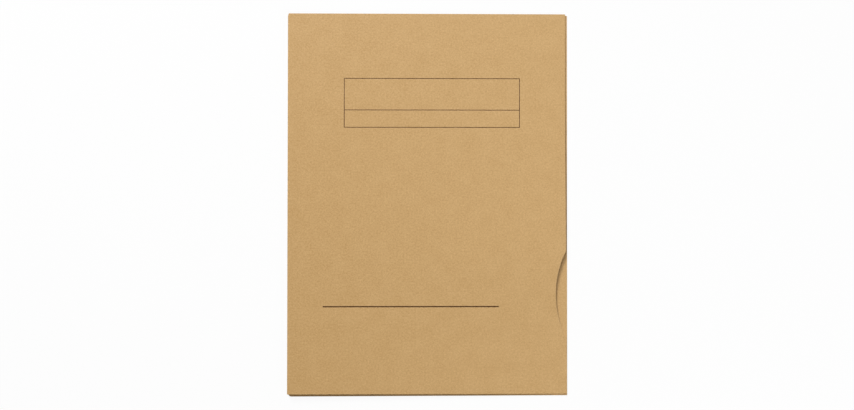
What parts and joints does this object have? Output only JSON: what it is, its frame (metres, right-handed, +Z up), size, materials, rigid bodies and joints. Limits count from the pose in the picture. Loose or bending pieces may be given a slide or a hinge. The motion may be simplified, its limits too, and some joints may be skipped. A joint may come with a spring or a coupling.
{
  "type": "fastener folder",
  "caption": "Kraft board folder for punched sheets: two covers folded on a narrow spine, a thumb notch in the front, and a prong fastener with a sliding compressor inside.",
  "frame": {"origin": "under the middle of the closed folder's outline, on the surface that it lies on", "axes": "+X from the spine to the free edges, +Y to the top of the page, +Z up through the front cover"},
  "size_m": [0.235, 0.322, 0.0048],
  "materials": {
    "kraft_board": "uncoated, matt, with fine fibres",
    "strip_board": "uncoated, matt",
    "tinplate": "bright rolled tinplate",
    "nickel_plate": "satin nickel plate"
  },
  "bodies": {
    "back": {"back_cover": "kraft_board", "fastener_strip": "strip_board", "fastener_base": "tinplate"},
    "spine": {"spine_panel": "kraft_board"},
    "front": {"front_cover": "kraft_board"},
    "prong_upper": {"prong_upper": "tinplate"},
    "prong_lower": {"prong_lower": "tinplate"},
    "bar": {"compressor_bar": "nickel_plate"},
    "slider_upper": {"slider_upper": "nickel_plate"},
    "slider_lower": {"slider_lower": "nickel_plate"}
  },
  "joints": [
    {"name": "spine_fold", "type": "hinge", "parent": "back", "child": "spine", "pos_m": [-0.11725, 0, 0.00025], "axis": [0, -1, 0], "range_deg": [0, 90]},
    {"name": "cover_fold", "type": "hinge", "parent": "spine", "child": "front", "pos_m": [-0.11725, 0, 0.00451], "axis": [0, -1, 0], "range_deg": [0, 90.2]},
    {"name": "prong_upper_bend", "type": "hinge", "parent": "back", "child": "prong_upper", "pos_m": [-0.0895, 0.04, 0.00255], "axis": [-1, 0, 0], "range_deg": [0, 90]},
    {"name": "prong_lower_bend", "type": "hinge", "parent": "back", "child": "prong_lower", "pos_m": [-0.0895, -0.04, 0.00255], "axis": [1, 0, 0], "range_deg": [0, 90]},
    {"name": "bar_lift", "type": "slide", "parent": "back", "child": "bar", "axis": [0, 0, 1], "range_m": [0, 0.007]},
    {"name": "slider_upper_slide", "type": "slide", "parent": "bar", "child": "slider_upper", "axis": [0, -1, 0], "range_m": [0, 0.0255]},
    {"name": "slider_lower_slide", "type": "slide", "parent": "bar", "child": "slider_lower", "axis": [0, 1, 0], "range_m": [0, 0.0255]}
  ],
  "couplings": [
    {"joint": "prong_upper_bend", "follows": "cover_fold", "ratio": 0.997},
    {"joint": "prong_lower_bend", "follows": "cover_fold", "ratio": 0.997},
    {"joint": "bar_lift", "follows": "cover_fold", "m_per_rad": 0.00444}
  ]
}
